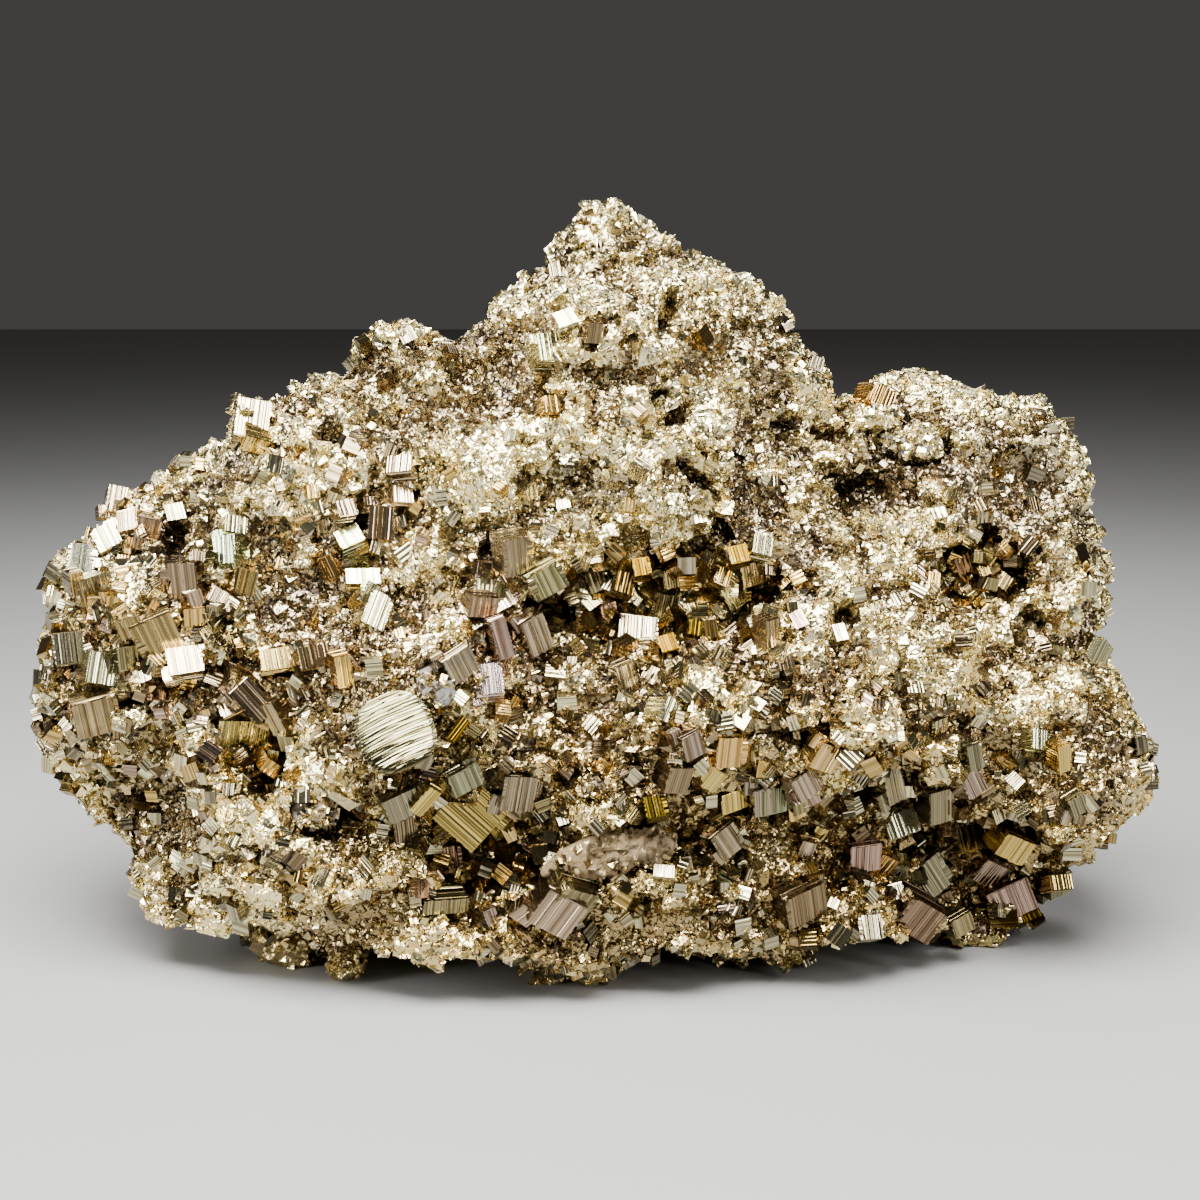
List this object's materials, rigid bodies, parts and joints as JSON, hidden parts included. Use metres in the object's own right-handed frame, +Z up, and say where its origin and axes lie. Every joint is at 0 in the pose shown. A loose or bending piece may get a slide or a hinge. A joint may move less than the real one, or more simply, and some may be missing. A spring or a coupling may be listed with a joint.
{
  "type": "pyrite specimen",
  "caption": "Free-standing museum rock of granular pyrite with striated cube crystals, crystal-lined hollows and small patches of quartz.",
  "frame": {"origin": "centre of the bounding box over the surface it stands on, at the lowest points of its underside", "axes": "+Z up, +X along its length to the viewer's right, -Y towards the viewer of the crystal-bearing front"},
  "size_m": [0.2816, 0.1278, 0.1813],
  "materials": {
    "granular_pyrite": "bright metallic grains, rough as a whole",
    "crystal_pyrite": "metallic cube faces with fine parallel grooves and a little tarnish",
    "quartz": "milky grey-white, slightly translucent"
  },
  "bodies": {
    "root": {"pyrite_rock": "granular_pyrite", "hollow_crystals_centre": "crystal_pyrite", "hollow_crystals_left": "crystal_pyrite", "hollow_crystals_right": "crystal_pyrite", "hollow_crystals_lower": "crystal_pyrite", "quartz_patch_left": "quartz", "quartz_patch_low": "quartz", "quartz_patch_middle": "quartz", "quartz_band": "quartz", "quartz_patch_top": "quartz"}
  },
  "joints": []
}
